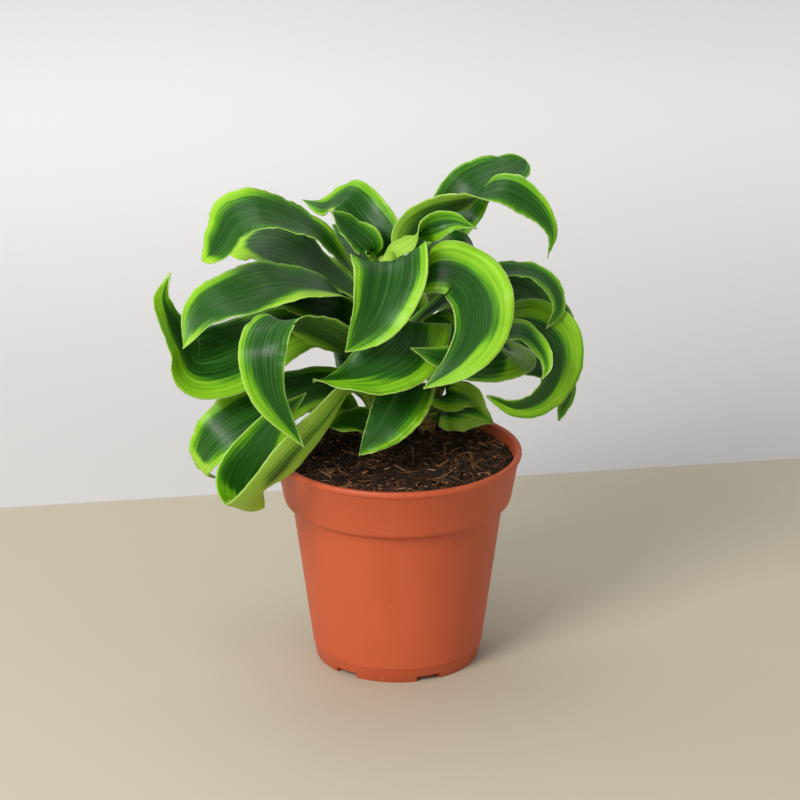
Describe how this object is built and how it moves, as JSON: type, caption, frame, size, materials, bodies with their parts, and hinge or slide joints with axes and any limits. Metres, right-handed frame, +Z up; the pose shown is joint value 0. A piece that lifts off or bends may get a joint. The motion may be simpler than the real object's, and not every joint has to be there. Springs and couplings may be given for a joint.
{
  "type": "potted dracaena",
  "caption": "Curly variegated dracaena with dark green, lime-edged leaves that arch and twist from short stems, in a round plastic nursery pot filled with soil.",
  "frame": {"origin": "centre of the pot base, on the surface that the pot stands on", "axes": "+Z up along the pot axis; -Y is the front that the picture shows, +X to its right"},
  "size_m": [0.2006, 0.173, 0.2395],
  "materials": {
    "pot": "injection moulded, terracotta coloured, satin",
    "soil": "coarse coir and peat, damp",
    "stem": "green to tan, ringed by leaf scars",
    "leaf": "glossy, dark green with lime margins"
  },
  "bodies": {
    "root": {"pot": "pot", "soil": "soil", "main_stem": "stem", "side_stem": "stem", "main_leaf_01": "leaf", "main_leaf_02": "leaf", "main_leaf_03": "leaf", "main_leaf_04": "leaf", "main_leaf_05": "leaf", "main_leaf_06": "leaf", "main_leaf_07": "leaf", "main_leaf_08": "leaf", "main_leaf_09": "leaf", "main_leaf_10": "leaf", "main_leaf_11": "leaf", "main_leaf_12": "leaf", "main_leaf_13": "leaf", "main_leaf_14": "leaf", "main_leaf_15": "leaf", "main_leaf_16": "leaf", "main_leaf_17": "leaf", "main_leaf_18": "leaf", "main_leaf_19": "leaf", "main_leaf_20": "leaf", "main_leaf_21": "leaf", "main_leaf_22": "leaf", "main_back_leaf_01": "leaf", "main_back_leaf_02": "leaf", "main_back_leaf_03": "leaf", "main_back_leaf_04": "leaf", "main_back_leaf_05": "leaf", "main_back_leaf_06": "leaf", "side_leaf_01": "leaf", "side_leaf_02": "leaf", "side_leaf_03": "leaf", "side_leaf_04": "leaf", "side_leaf_05": "leaf", "side_leaf_06": "leaf", "side_leaf_07": "leaf", "side_leaf_08": "leaf", "side_back_leaf_01": "leaf", "side_back_leaf_02": "leaf", "side_back_leaf_03": "leaf"}
  },
  "joints": []
}
